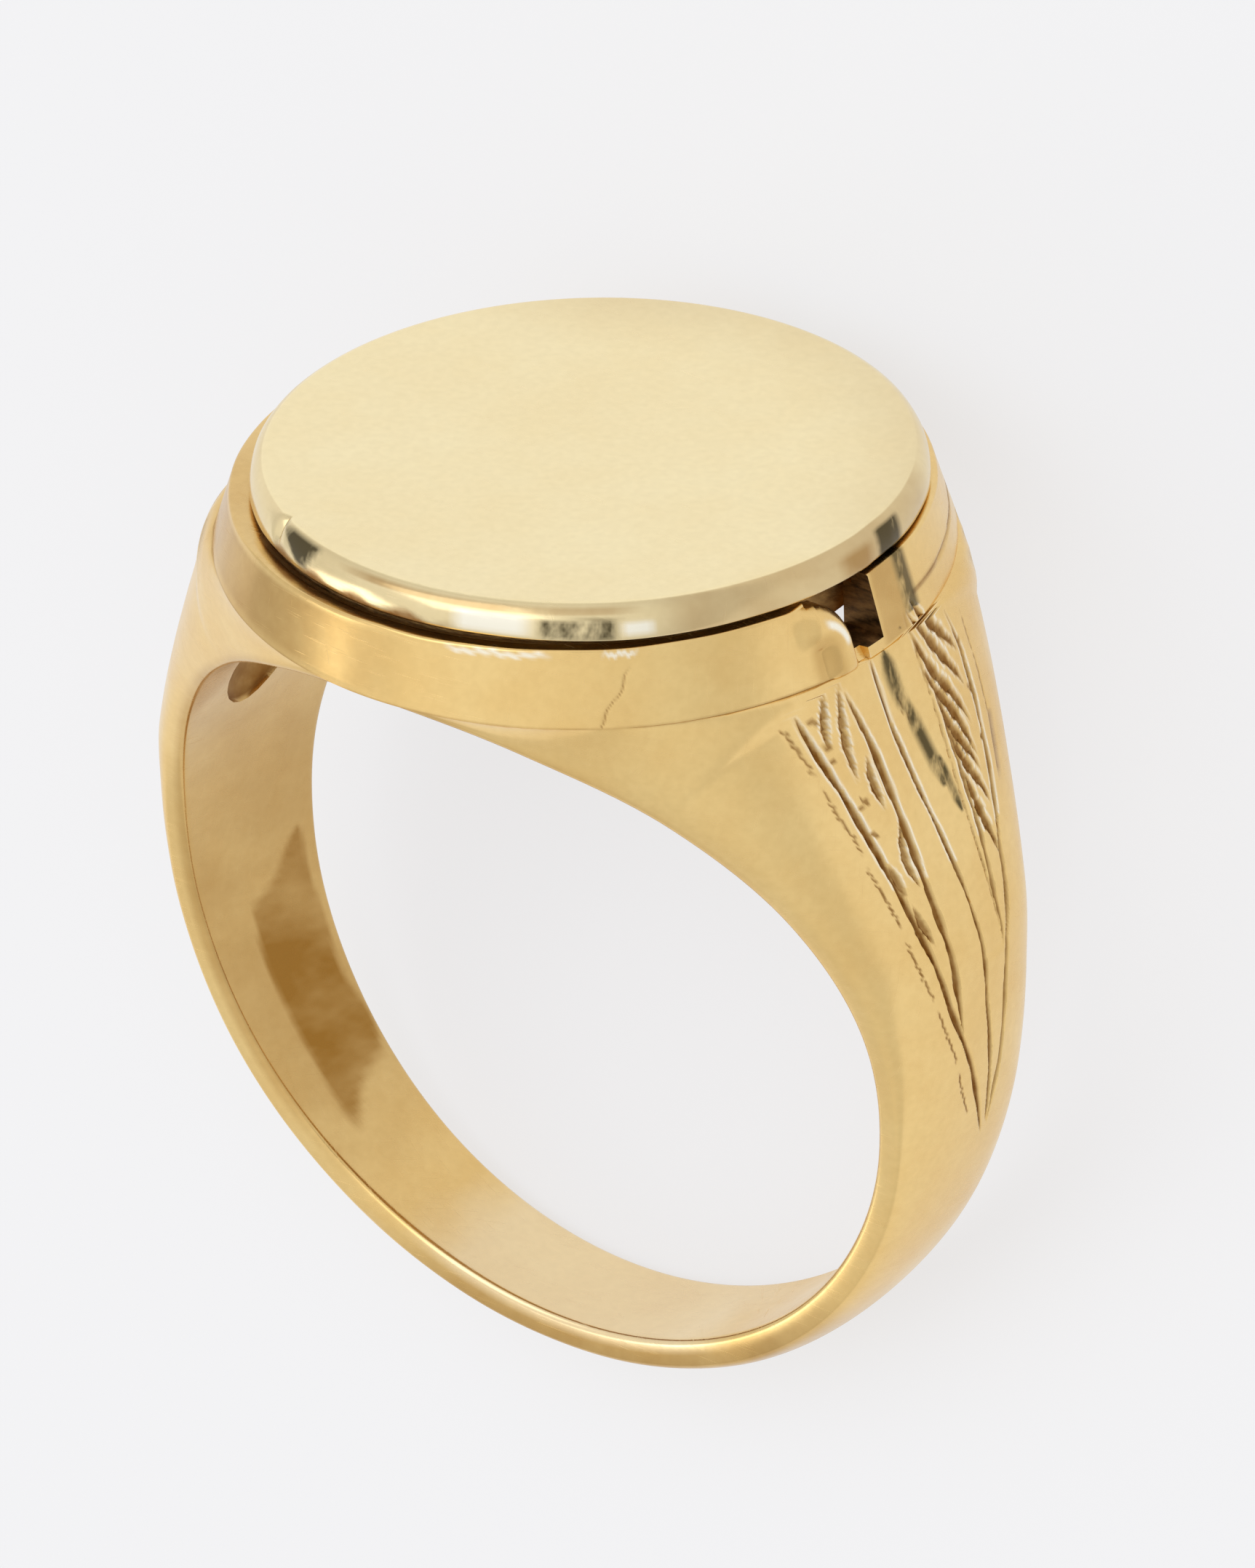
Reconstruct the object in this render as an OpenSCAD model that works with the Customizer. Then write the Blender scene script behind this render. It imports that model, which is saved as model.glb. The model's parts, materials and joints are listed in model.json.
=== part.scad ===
// Poison ring: a signet ring whose round head is a shallow box with a hinged lid.
// Every piece is drawn in the ring's own directions and then laid on its side:
// x runs across the finger to the right shoulder, y runs up to the lid and
// z runs along the finger. The origin is the middle of the finger hole.

/* [Finger hole and band] */
// Diameter of the finger hole
bore_d = 18; // [16:0.1:21]
// Width of the band at the bottom, along the finger
band_w = 2.76; // [2.2:0.02:3.4]
// Thickness of the band at the bottom, over its crown
band_t = 0.92; // [0.8:0.02:1.2]
// Height of the band's upright side wall at the bottom
edge_h = 0.55; // [0.3:0.05:0.6]

/* [Shoulders and head] */
// Radius of the head where the collar is soldered to the shoulders
head_r = 7.8; // [7.6:0.05:8]
// Height of that solder seam above the middle of the finger hole
seam_u = 9.53; // [9.4:0.01:9.7]
// Width of the head along the finger, at the finger hole
head_w = 14.32; // [13.8:0.02:14.8]
// How far the shoulder leans in for each millimetre that it rises
shoulder_lean = 0.34; // [0.3:0.01:0.38]
// Radius of the collar's outside at its top edge
collar_top_r = 7.4; // [7.3:0.01:7.6]
// Radius inside the collar, where the cup's flange sits
collar_in_r = 6.93; // [6.85:0.01:7]
// Width of the flat strip down each shoulder, where it leaves the head
strip_w = 1.1; // [0.6:0.05:1.4]
// Angle at which the flat strip ends in a point, below the line through the finger hole
strip_end = -9; // [-20:1:5]
// Width of the opening under the head, across the finger hole
hollow_w = 11.2; // [10:0.1:11.6]

/* [Lid and cup] */
// Radius of the lid at its lower edge
lid_r = 7.15; // [7:0.01:7.25]
// Radius of the flat on top of the lid
lid_flat_r = 6.78; // [6.4:0.01:6.8]
// How far the lid's plate sits off the head's middle, towards the right shoulder
lid_off = 0.16; // [0:0.01:0.2]
// Thickness of the lid at its rim
lid_h = 0.74; // [0.5:0.01:0.8]
// Depth of the ring under the lid that drops into the cup
skirt_h = 0.35; // [0.2:0.01:0.45]
// Radius of the cup's outside wall
cup_r = 6.5; // [6.3:0.01:6.6]
// Height of the cup from its underside to its rim
cup_h = 1.13; // [1:0.01:1.2]
// Wall of the cup, and the thickness of its floor and flange
cup_wall = 0.28; // [0.2:0.01:0.3]

/* [Hinge at the back of the head] */
// Outside radius of the hinge barrel
barrel_r = 0.4; // [0.36:0.01:0.42]
// Radius of the hinge pin
pin_r = 0.18; // [0.15:0.01:0.2]
// Length of the barrel, across the finger
barrel_len = 2.6; // [2.4:0.1:3.2]
// Length of the middle knuckle, which belongs to the lid
knuckle_len = 1; // [0.8:0.05:1.2]
// Slope of the collar's top edge, higher at the front of the head, in degrees
top_slope = 1.4; // [0:0.1:2]
// Slope of the same edge across the finger, higher at the right shoulder, in degrees
side_slope = 2; // [0:0.1:2.5]
// How far the lid stands ajar as the ring lies, in degrees
ajar = 0.6; // [0:0.1:2]

/* [Slot in the collar] */
// Width of the slot beside the right shoulder, along the finger
slot_w = 0.85; // [0.6:0.05:1.2]
// Height of the slot's floor above the middle of the finger hole
slot_u = 9.76; // [9.7:0.01:10]
// Radius of the rounded nub at the collar's end
nub_r = 0.66; // [0.5:0.01:0.7]

/* [Hidden] */

bore_r = bore_d / 2;
// Working clearances: pin in the lid's knuckle, pin in the collar's knuckles, between pieces
run_gap = 0.03;
seat_gap = 0.02;
side_gap = 0.05;

// The hinge axis, seen from the side of the ring
hinge_u = seam_u + 0.42;
hinge_z = -7.6;
// Heights over the hinge axis, square to the collar's top edge
rim_h = 0.73;
lid_under = rim_h + run_gap;

// The seam's place on the shoulder, as an angle round the finger hole's axis
seam_angle = atan2(seam_u, head_r);
// The shoulder's straight outline passes the finger hole's axis at this angle and distance
foot_angle = atan(shoulder_lean);
foot_reach = (head_r + shoulder_lean * seam_u) * cos(foot_angle);

// Half width of the shank at the finger hole: angle above the shoulder line, half width
WIDTHS = [
    [-90, band_w / 2],
    [-60, band_w / 2 + 0.1],
    [-30, band_w / 2 + 0.42],
    [-10, 2.08],
    [10, 2.56],
    [30, 3.62],
    [50, 5.08],
    [70, 6.54],
    [90, head_w / 2],
];
// Thickness over the crown below the straight outline: angle, thickness
CROWNS = [
    [-90, band_t],
    [-60, band_t],
    [-30, band_t - 0.03],
    [-5, band_t + 0.05],
    [8, band_t + 0.28],
    [foot_angle, foot_reach - bore_r],
];

// The ring lies on its hinge barrel and on the back corner of the band
lie_angle = atan2(barrel_lean(), hinge_u + bore_r + edge_h);
function barrel_lean() = -hinge_z + barrel_r * 1.055 - band_w / 2;

// Smooth curve through a table of [place, value] rows, flat at both ends
function slope_at(t, i) =
    i == 0 || i == len(t) - 1 ? 0 : (t[i + 1][1] - t[i - 1][1]) / (t[i + 1][0] - t[i - 1][0]);
function row_of(t, a, i = 0) = i >= len(t) - 2 || a < t[i + 1][0] ? i : row_of(t, a, i + 1);
function between(t, a) =
    let (i = row_of(t, a), h = t[i + 1][0] - t[i][0], s = (a - t[i][0]) / h)
    t[i][1] * (2 * s ^ 3 - 3 * s ^ 2 + 1) + t[i + 1][1] * (3 * s ^ 2 - 2 * s ^ 3)
    + h * slope_at(t, i) * (s ^ 3 - 2 * s ^ 2 + s) + h * slope_at(t, i + 1) * (s ^ 3 - s ^ 2);

// Steps of the shank's skin: sections round the half ring, and points up one side of a section
side_steps = 44;
wall_steps = 7;
// The skin starts this far inside the finger hole, which is cut out afterwards
skin_depth = 0.5;

// Share of the way from the bottom of the band to the middle of the head
function share(a) = (a + 90) / 180;
function edge_at(a) = edge_h * (1 - 0.8 * share(a) ^ 2);
// 2 gives a round crown, and smaller numbers flatten it into the head's wall
function roundness(a) = a < seam_angle ? 2 : 2 - 0.75 * (a - seam_angle) / (90 - seam_angle);

// Half width of the flat strip down the crown, which tapers to a point beside the finger hole
strip_tip = 0.03;
function strip_at(a) =
    let (grown = max(0, min(1, (a - strip_end) / (seam_angle - strip_end))))
    strip_tip + (strip_w / 2 - strip_tip) * grown;
// Top of a section's side wall, as [distance from the finger hole's axis, half width]
function line_reach(a) = foot_reach / cos(a - foot_angle);
function top_of(a) =
    a < foot_angle ? [bore_r + between(CROWNS, a), strip_at(a)]
    : a <= seam_angle ? [line_reach(a), strip_at(a)]
    : [seam_u / sin(a), max(strip_at(a), sqrt(head_r ^ 2 - (seam_u / tan(a)) ^ 2))];

// One side wall of a section, from the finger hole up to the crown or the seam
function side_of(a) =
    let (w = between(WIDTHS, a), top = top_of(a), low = bore_r + edge_at(a), p = 2 / roundness(a))
    concat([[bore_r - skin_depth, w]],
        [for (i = [0 : wall_steps])
            let (t = 90 * i / wall_steps)
            [low + (top[0] - low) * sin(t) ^ p, top[1] + (w - top[1]) * cos(t) ^ p]]);
function turned(a, p, side) = [p[0] * cos(a), p[0] * sin(a), side * p[1]];
function section_at(a) =
    let (s = side_of(a), n = len(s))
    concat([for (i = [0 : n - 1]) turned(a, s[i], 1)],
        [for (i = [n - 1 : -1 : 0]) turned(a, s[i], -1)]);

// Sections round the whole ring, starting at the bottom of the band
function angle_at(i) = -90 + 180 * i / side_steps;
function full_turn() =
    concat([for (i = [0 : side_steps]) section_at(angle_at(i))],
        [for (i = [side_steps - 1 : -1 : 1])
            [for (p = section_at(angle_at(i))) [-p[0], p[1], p[2]]]]);

module loft(rings) {
    n = len(rings[0]);
    m = len(rings);
    polyhedron(
        points = [for (r = rings) each r],
        faces = [for (j = [0 : m - 1], i = [0 : n - 1])
            let (a = j * n + i, b = j * n + (i + 1) % n, c = (a + n) % (m * n), d = (b + n) % (m * n))
            each [[a, d, b], [a, c, d]]]);
}

// Places a piece drawn in the ring's own directions as the ring lies
module as_it_lies() rotate([-lie_angle, 0, 0]) rotate([0, 0, 180]) children();

// Turns a piece drawn upright so that its axis runs up to the lid
module upright() rotate([-90, 0, 0]) children();

// Frame at the hinge axis: y square to the collar's top edge, z forward over the head
module at_hinge(opened = 0)
    translate([0, hinge_u, 0]) rotate([0, 0, side_slope]) translate([0, 0, hinge_z])
        rotate([-top_slope - opened, 0, 0]) children();
module at_head_middle(opened = 0)
    at_hinge(opened) translate([0, 0, -hinge_z]) upright() children();

module barrel(r, x0, x1) translate([x0, 0, 0]) rotate([0, 90, 0]) cylinder(h = x1 - x0, r = r, $fn = 32);

// Collar round the head, with its top edge cut to the slope. Its foot sinks into the shoulders
// and stands a hair proud of them, which leaves the solder seam to be seen.
module collar() {
    top_h = hinge_u + rim_h + 0.4;
    lean = (head_r - collar_top_r) / (hinge_u + rim_h - seam_u + 0.2);
    difference() {
        union() {
            upright() rotate_extrude($fn = 96) polygon([
                [0, seam_u - 0.3], [head_r - 0.5, seam_u - 0.3], [head_r + 0.02, seam_u],
                [head_r + 0.02 - lean * (top_h - seam_u), top_h], [0, top_h]]);
            nub();
        }
        at_head_middle() translate([0, 0, rim_h]) cylinder(h = 3, r = 12, $fn = 24);
    }
}

// Hollow inside the head: a seat for the cup's flange, and a taper down to the finger hole
module head_hollow() {
    // How far the hollow runs on, clear of the collar's top
    open_top = 4;
    step_r = collar_in_r - 0.21;
    upright() rotate_extrude($fn = 96) polygon([
        [0, 6], [hollow_w / 2, 6], [hollow_w / 2, 8.3], [step_r, slot_u - 0.06],
        [step_r, slot_u + open_top], [0, slot_u + open_top]]);
    at_head_middle() translate([0, 0, rim_h - cup_wall - 0.02])
        cylinder(h = open_top, r = collar_in_r, $fn = 96);
}

// The collar's end beside the slot is a bead that swells out and leans in as the wall does
module nub() {
    swell = 0.1;
    foot_u = slot_u + 0.16;
    rise = 0.75;
    lean_in = 0.2;
    reach = head_r - nub_r + swell;
    for (u = [0, rise])
        translate([reach - u * lean_in, foot_u + u, slot_w + nub_r]) sphere(r = nub_r, $fn = 24);
    translate([reach, foot_u, slot_w + nub_r]) rotate([0, 0, atan(lean_in)]) upright()
        cylinder(h = rise / cos(atan(lean_in)), r = nub_r, $fn = 24);
}

module slot() {
    // The cut starts inside the collar's wall
    from_x = 6.3;
    // The nub's upper corner is rounded off beside the slot
    corner = 0.9;
    corner_u = slot_u + 0.4;
    lap = 0.01;
    translate([from_x, slot_u, 0]) cube([3, 4, slot_w]);
    translate([from_x, corner_u, slot_w - lap]) difference() {
        cube([3, 3, corner + lap]);
        translate([-1, 0, corner + lap]) rotate([0, 90, 0]) cylinder(h = 5, r = corner, $fn = 48);
    }
}

// Gap in the back of the collar in which the lid's knuckle turns
module knuckle_gap() {
    half = knuckle_len / 2 + side_gap;
    reach = 1;
    at_hinge() {
        barrel(barrel_r + side_gap, -half, half);
        translate([-half, -side_gap, -reach]) cube([2 * half, 2, reach + 0.66]);
    }
}

module shank() color("goldenrod") as_it_lies() difference() {
    union() {
        loft(full_turn());
        difference() {
            collar();
            slot();
        }
        at_hinge() barrel(barrel_r, -barrel_len / 2, barrel_len / 2);
    }
    translate([0, 0, -20]) cylinder(h = 40, r = bore_r, $fn = 128);
    head_hollow();
    knuckle_gap();
    at_hinge() barrel(pin_r + seat_gap, -barrel_len, barrel_len);
}

module cup() color("peru") as_it_lies() difference() {
    at_head_middle() difference() {
        union() {
            translate([0, 0, rim_h - cup_h]) cylinder(h = cup_h, r = cup_r, $fn = 96);
            translate([0, 0, rim_h - cup_wall]) cylinder(h = cup_wall, r = collar_in_r - seat_gap * 2, $fn = 96);
        }
        translate([0, 0, rim_h - cup_h + cup_wall]) cylinder(h = 3, r = cup_r - cup_wall, $fn = 96);
    }
    // The flange is cut away at the slot
    flange_gap = slot_w + 1.4;
    translate([cup_r, slot_u + 0.4, -0.15]) cube([2, 3, flange_gap]);
}

module lid() color("khaki") as_it_lies() difference() {
    union() {
        at_head_middle(ajar) {
            translate([lid_off, 0, lid_under]) rotate_extrude($fn = 96) polygon(concat(
                [[0, 0], [lid_r, 0], [lid_r, 0.12]],
                [for (a = [15 : 15 : 75])
                    [lid_flat_r + (lid_r - lid_flat_r) * cos(a), 0.12 + (lid_h - 0.12) * sin(a)]],
                [[lid_flat_r, lid_h], [0, lid_h]]));
            difference() {
                skirt_r = cup_r - cup_wall - 0.1;
                translate([0, 0, lid_under - skirt_h]) cylinder(h = skirt_h + 0.1, r = skirt_r, $fn = 96);
                translate([0, 0, lid_under - skirt_h - 1])
                    cylinder(h = skirt_h + 1, r = skirt_r - cup_wall, $fn = 96);
            }
        }
        at_hinge(ajar) {
            barrel(barrel_r, -knuckle_len / 2, knuckle_len / 2);
            translate([-knuckle_len / 2, 0, 0]) cube([knuckle_len, lid_under + 0.2, 0.6]);
        }
    }
    at_hinge(ajar) barrel(pin_r + run_gap, -barrel_len, barrel_len);
}

module hinge_pin() color("darkgoldenrod") as_it_lies()
    at_hinge() barrel(pin_r, -barrel_len / 2, barrel_len / 2);

shank();
cup();
lid();
hinge_pin();
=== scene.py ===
import json
import math

import bpy
import numpy as np
from mathutils import Matrix, Vector


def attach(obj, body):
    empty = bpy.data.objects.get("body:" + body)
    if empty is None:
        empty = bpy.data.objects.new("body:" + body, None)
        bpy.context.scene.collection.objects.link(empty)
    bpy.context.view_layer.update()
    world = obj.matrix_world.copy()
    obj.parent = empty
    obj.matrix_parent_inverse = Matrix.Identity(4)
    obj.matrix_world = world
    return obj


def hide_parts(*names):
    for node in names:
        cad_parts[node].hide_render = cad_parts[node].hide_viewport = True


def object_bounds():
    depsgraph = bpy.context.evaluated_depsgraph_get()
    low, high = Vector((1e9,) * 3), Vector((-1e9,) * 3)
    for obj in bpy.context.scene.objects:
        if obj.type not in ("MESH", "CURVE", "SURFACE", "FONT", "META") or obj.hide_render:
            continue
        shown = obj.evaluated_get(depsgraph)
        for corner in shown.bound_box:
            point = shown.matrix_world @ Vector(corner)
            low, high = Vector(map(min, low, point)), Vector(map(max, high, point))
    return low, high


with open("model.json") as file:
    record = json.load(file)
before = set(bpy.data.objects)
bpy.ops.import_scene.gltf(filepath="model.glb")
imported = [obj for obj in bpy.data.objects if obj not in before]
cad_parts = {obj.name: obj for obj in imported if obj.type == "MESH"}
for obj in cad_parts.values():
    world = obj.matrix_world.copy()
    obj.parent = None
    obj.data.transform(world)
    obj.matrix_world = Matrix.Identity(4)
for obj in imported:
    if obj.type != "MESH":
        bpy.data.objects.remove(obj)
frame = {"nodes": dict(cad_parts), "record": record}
cad_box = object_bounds()

MM = 0.001

# The ring's own directions
# x runs across the finger to the right shoulder, y up to the lid, z along the finger.
# Everything is drawn in them in millimetres and then placed as the ring lies.
bore_mount = next(m for m in frame["record"]["mounts"] if m["name"] == "finger_bore")
ALONG = np.array(bore_mount["axis"]) / np.linalg.norm(bore_mount["axis"])
ACROSS = np.array([-1.0, 0.0, 0.0])
UP = np.cross(ALONG, ACROSS)


def as_it_lies(points):
    p = np.asarray(points, float).reshape(-1, 3)
    return (p[:, :1] * ACROSS + p[:, 1:2] * UP + p[:, 2:] * ALONG) * MM


# Sizes in mm and degrees
BORE_R = 9.0
BAND_W = 2.76
BAND_T = 0.92
EDGE_H = 0.55
INNER_EDGE = 0.14
HEAD_R = 7.8
SEAM_U = 9.53
BACK_SEAM_U = 10.12
HEAD_W = 14.32
LEAN = 0.34
STRIP_W = 1.1
STRIP_END = -9.0
HOLLOW_W = 11.2
HOLLOW_NARROW_U = 8.3

# The collar, with the seat and the step for the cup inside it
COLLAR_TOP_R = 7.4
COLLAR_IN_R = 6.93
COLLAR_STEP_R = COLLAR_IN_R - 0.21
COLLAR_FOOT = 0.3
COLLAR_TOP_EDGE = 0.07
COLLAR_IN_EDGE = 0.05
COLLAR_MID_R = 7.1
RIM_H = 0.73
TOP_SLOPE = 1.4
SIDE_SLOPE = 2.0
FACET_FROM = -9.8
FACET_TO = 0.2

# The slot in the collar, and the rounded end beside it
SLOT_W = 0.85
SLOT_U = 9.76
NUB_CORNER_U = SLOT_U + 0.4
NUB_CORNER_R = 0.9

# The lid, the cup and the hinge
LID_R = 7.15
LID_FLAT_R = 6.78
LID_OFF = 0.16
LID_H = 0.74
LID_EDGE_H = 0.12
LID_BULGE = 0.09
NICK_AT = 120.0
SKIRT_H = 0.35
CUP_R = 6.5
CUP_WALL = 0.28
BARREL_R = 0.4
PIN_R = 0.18
BARREL_LEN = 2.6
KNUCKLE_LEN = 1.0
AJAR = 0.6
RUN_GAP = 0.03
SEAT_GAP = 0.02
SIDE_GAP = 0.05
HINGE_U = SEAM_U + 0.42
HINGE_Z = -7.6
LID_UNDER = RIM_H + RUN_GAP
COLLAR_LEAN = (HEAD_R - COLLAR_TOP_R) / (HINGE_U + RIM_H - SEAM_U + 0.2)

# Angles above the shoulder line
SEAM_ANGLE = math.degrees(math.atan2(SEAM_U, HEAD_R))
FOOT_ANGLE = math.degrees(math.atan(LEAN))
FOOT_REACH = (HEAD_R + LEAN * SEAM_U) * math.cos(math.radians(FOOT_ANGLE))

# Half width of the shank at the finger hole: angle above the shoulder line, half width
WIDTHS = [
    (-90, BAND_W / 2), (-60, BAND_W / 2 + 0.1), (-30, BAND_W / 2 + 0.42), (-10, 2.08), (10, 2.56),
    (30, 3.62), (50, 5.08), (70, 6.54), (90, HEAD_W / 2),
]
# Thickness over the crown below the straight outline: angle, thickness
CROWNS = [
    (-90, BAND_T), (-60, BAND_T), (-30, BAND_T - 0.03), (-5, BAND_T + 0.05), (8, BAND_T + 0.28),
    (FOOT_ANGLE, FOOT_REACH - BORE_R),
]


def turn(axis, degrees):
    """Rotation about x or z."""
    c = math.cos(math.radians(degrees))
    s = math.sin(math.radians(degrees))
    if axis == "x":
        return np.array([[1, 0, 0], [0, c, -s], [0, s, c]])
    return np.array([[c, -s, 0], [s, c, 0], [0, 0, 1]])


def on_circle(degrees):
    return np.cos(np.radians(degrees)), np.sin(np.radians(degrees))


def from_hinge(points, opened=0.0):
    """From the frame at the hinge axis (y square to the collar's rim, z forward) to the ring's."""
    p = np.asarray(points, float).reshape(-1, 3) @ turn("x", -TOP_SLOPE - opened).T
    p = (p + [0, 0, HINGE_Z]) @ turn("z", SIDE_SLOPE).T
    return p + [0, HINGE_U, 0]


def into_hinge(p):
    """The way back: places in the ring's directions, told from the hinge of the lid as it lies."""
    p = (np.asarray(p, float) - [0, HINGE_U, 0]) @ turn("z", SIDE_SLOPE)
    return (p - [0, 0, HINGE_Z]) @ turn("x", -TOP_SLOPE - AJAR)


def rim_height(x, z, above=RIM_H):
    """Height of the collar's top plane, or of a plane beside it, over a point of the head."""
    base, tip = from_hinge([[0, above, 0], [0, above + 1, 0]])
    n = tip - base
    return (n @ base - n[0] * x - n[2] * z) / n[1]


def hermite(table, a):
    """Smooth curve through a table of places and values, flat at both ends."""
    xs = np.array([t[0] for t in table], float)
    ys = np.array([t[1] for t in table], float)
    slopes = np.zeros(len(xs))
    slopes[1:-1] = (ys[2:] - ys[:-2]) / (xs[2:] - xs[:-2])
    a = np.clip(a, xs[0], xs[-1])
    i = np.clip(np.searchsorted(xs, a, side="right") - 1, 0, len(xs) - 2)
    h = xs[i + 1] - xs[i]
    s = (a - xs[i]) / h
    return (ys[i] * (2 * s**3 - 3 * s**2 + 1) + ys[i + 1] * (3 * s**2 - 2 * s**3)
            + h * slopes[i] * (s**3 - 2 * s**2 + s) + h * slopes[i + 1] * (s**3 - s**2))


def ripple(p, size, seed):
    """Soft waves in all directions, between about -1 and 1, for hand-worked metal."""
    x, y, z = (p / size).T
    return (np.sin(1.9 * x + 1.3 * y + seed) + np.sin(2.3 * y - 1.1 * z + 2.1 * seed)
            + np.sin(1.7 * z + 1.5 * x + 3.3 * seed) + np.sin(3.1 * x - 2.2 * z + 0.7 * seed)) / 4


def share(x):
    """A value held between 0 and 1."""
    return np.clip(x, 0, 1)


def within(x, low, high, soft):
    """1 between two values, and 0 outside them, with soft borders."""
    return share((x - low) / soft) * share((high - x) / soft)


def most(*layers):
    return np.maximum.reduce(layers)


# The engraving on a shoulder
# Places are (degrees above the shoulder line, mm along the finger), and ARC is the mm in a degree.
ARC = 0.196

OUTER_LEFT = [(51.2, 2.95), (47, 2.7), (41, 2.31), (33, 1.9), (25, 1.55), (16, 1.2), (11, 0.96),
              (6.5, 0.65), (1, 0.25), (-5, -0.1), (-11, -0.42)]
INNER_LEFT = [(50, 1.56), (44, 1.24), (37, 1.05), (29.5, 0.93), (21, 0.8), (13, 0.72), (6.5, 0.58)]
STRIP_LEFT = [(51.4, 0.58), (44, 0.5), (37, 0.26), (31, 0.02), (24, -0.19), (16, -0.26), (8, -0.27),
              (0, -0.42), (-9.6, -0.54)]
STRIP_RIGHT = [(53.5, -0.84), (49.2, -0.87), (42, -0.94), (35, -0.93), (30, -0.95), (24, -0.98),
               (17, -0.95)]
INNER_RIGHT = [(44, -1.09), (36, -1.17), (28, -1.2), (20, -1.05), (14, -0.98)]
OUTER_RIGHT = [(50.5, -2.2), (46.5, -2.44), (41, -2.42), (34, -2.22), (29, -1.98), (25, -1.74),
               (21, -1.57), (15, -1.15), (10, -1.0), (4, -0.88), (-1, -0.82), (-6, -0.66), (-10, -0.58)]
FINE_RIGHT = [(50, -2.84), (44, -2.89), (39, -2.79), (33, -2.53), (28, -2.38), (23, -2.1)]
WRIGGLE = [(50.3, 3.25), (47, 2.99), (43, 2.75), (39.7, 2.6), (35.7, 2.33), (32, 2.25), (27.6, 2.02),
           (24, 1.86), (20.7, 1.8), (16.8, 1.65), (12, 1.35), (7, 1.06), (4, 0.84), (-1.5, 0.56),
           (-5.5, 0.28)]
LEAVES_RIGHT = [
    [(53.2, -1.1), (50.6, -1.52), (49.2, -1.8), (47.6, -2.12), (46.4, -2.3)],
    [(52.4, -0.92), (49.2, -1.35), (47, -1.67), (44.7, -2.0), (42.9, -2.18)],
    [(50.9, -0.82), (48.4, -0.99), (45.7, -1.27), (43.4, -1.62), (41, -1.86), (39.2, -2.0)],
    [(47.6, -0.84), (44.3, -1.14), (42, -1.45), (39.9, -1.65), (37.6, -1.78), (35.8, -1.86)],
    [(44.2, -1.04), (40.9, -1.22), (38.6, -1.44), (36.2, -1.7), (34.2, -1.84)],
    [(40.6, -1.12), (37.4, -1.28), (35.1, -1.48), (32.2, -1.76), (30, -1.86)],
    [(35.6, -1.24), (32, -1.34), (29.1, -1.46), (26.4, -1.6), (24.2, -1.64)],
]
LEAVES_LEFT = [
    [(51, 2.06), (49, 2.21), (47.4, 2.31), (45.6, 2.34)],
    [(51, 1.6), (47.4, 1.82), (44.9, 1.89), (41, 1.87)],
    [(43.2, 1.42), (41.3, 1.5), (39.3, 1.46), (37, 1.38)],
    [(35.4, 1.04), (32.6, 1.2), (29.9, 1.24), (26.6, 1.06)],
    [(31.4, 1.74), (29, 1.62), (26.6, 1.5)],
    [(25.4, 1.42), (22.6, 1.3), (19.6, 1.14)],
]
NICKS = [
    [(49.6, 2.76), (49, 2.5), (48.4, 2.36)], [(46.4, 2.52), (45.8, 2.2)], [(44.9, 2.46), (44.4, 2.2)],
    [(39.8, 1.95), (38.2, 1.72)], [(38.4, 2.08), (39.4, 1.66)], [(35.8, 1.96), (34.6, 1.72)],
    [(47.8, -2.3), (47, -2.52)], [(42.8, -2.22), (42, -2.5)], [(37.6, -2.1), (36.8, -2.4)],
    [(29.5, 1.8), (28.4, 1.58)], [(22.4, 1.6), (21.4, 1.3)],
]
STRIP_SCRATCHES = [
    [(46.6, 0.1), (45.2, 0.0), (44.2, 0.12)], [(44.6, -0.1), (43, -0.05)],
    [(37.6, -0.62), (36.8, -0.68)],
]

# (line, width, depth, share of the length that tapers at each end, how brown it is)
CUTS = [
    (OUTER_LEFT, 0.17, 0.11, 0.08, 1.0),
    (INNER_LEFT, 0.21, 0.12, 0.14, 0.95),
    (STRIP_LEFT, 0.15, 0.1, 0.06, 0.95),
    (STRIP_RIGHT, 0.06, 0.03, 0.05, 0.45),
    (INNER_RIGHT, 0.15, 0.09, 0.2, 0.8),
    (OUTER_RIGHT, 0.16, 0.1, 0.1, 0.8),
    (FINE_RIGHT, 0.06, 0.02, 0.1, 0.7),
]
CUTS += [(line, 0.29, 0.13, 0.42, 0.95) for line in LEAVES_RIGHT]
CUTS += [(line, 0.23, 0.11, 0.42, 0.8) for line in LEAVES_LEFT]
CUTS += [(line, 0.13, 0.05, 0.4, 0.75) for line in NICKS]
CUTS += [(line, 0.07, 0.02, 0.3, 0.7) for line in STRIP_SCRATCHES]

# Painted dark reflections down the strip, drawn as olive-dark strokes: (line, width, how dark)
DARK_REFLECTION_STROKES = [
    ([(50.6, 0.1), (48, 0.06), (46, -0.02), (44.2, -0.14)], 0.4, 1.0),
    ([(46, -0.1), (43, -0.22), (40, -0.36), (37, -0.5), (35, -0.55)], 0.34, 1.0),
    ([(38.6, -0.62), (35, -0.72), (31.5, -0.84)], 0.2, 1.0),
    ([(53.8, -0.5), (51.4, -0.62)], 0.3, 0.8),
]


def nearest_on(line, a, z):
    """Distance in mm from each place to a line, and how far along the line that is, from 0 to 1."""
    pts = np.array([(q[0] * ARC, q[1]) for q in line])
    lengths = np.linalg.norm(np.diff(pts, axis=0), axis=1)
    starts = np.concatenate([[0], np.cumsum(lengths)])
    best = np.full(a.shape, 9.0)
    along = np.zeros(a.shape)
    p = np.stack([a * ARC, z], -1)
    for k, length in enumerate(lengths):
        d = (pts[k + 1] - pts[k]) / length
        t = np.clip((p - pts[k]) @ d, 0, length)
        dist = np.linalg.norm(p - pts[k] - t[..., None] * d, axis=-1)
        nearer = dist < best
        best = np.where(nearer, dist, best)
        along = np.where(nearer, (starts[k] + t) / starts[-1], along)
    return best, along


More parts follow.
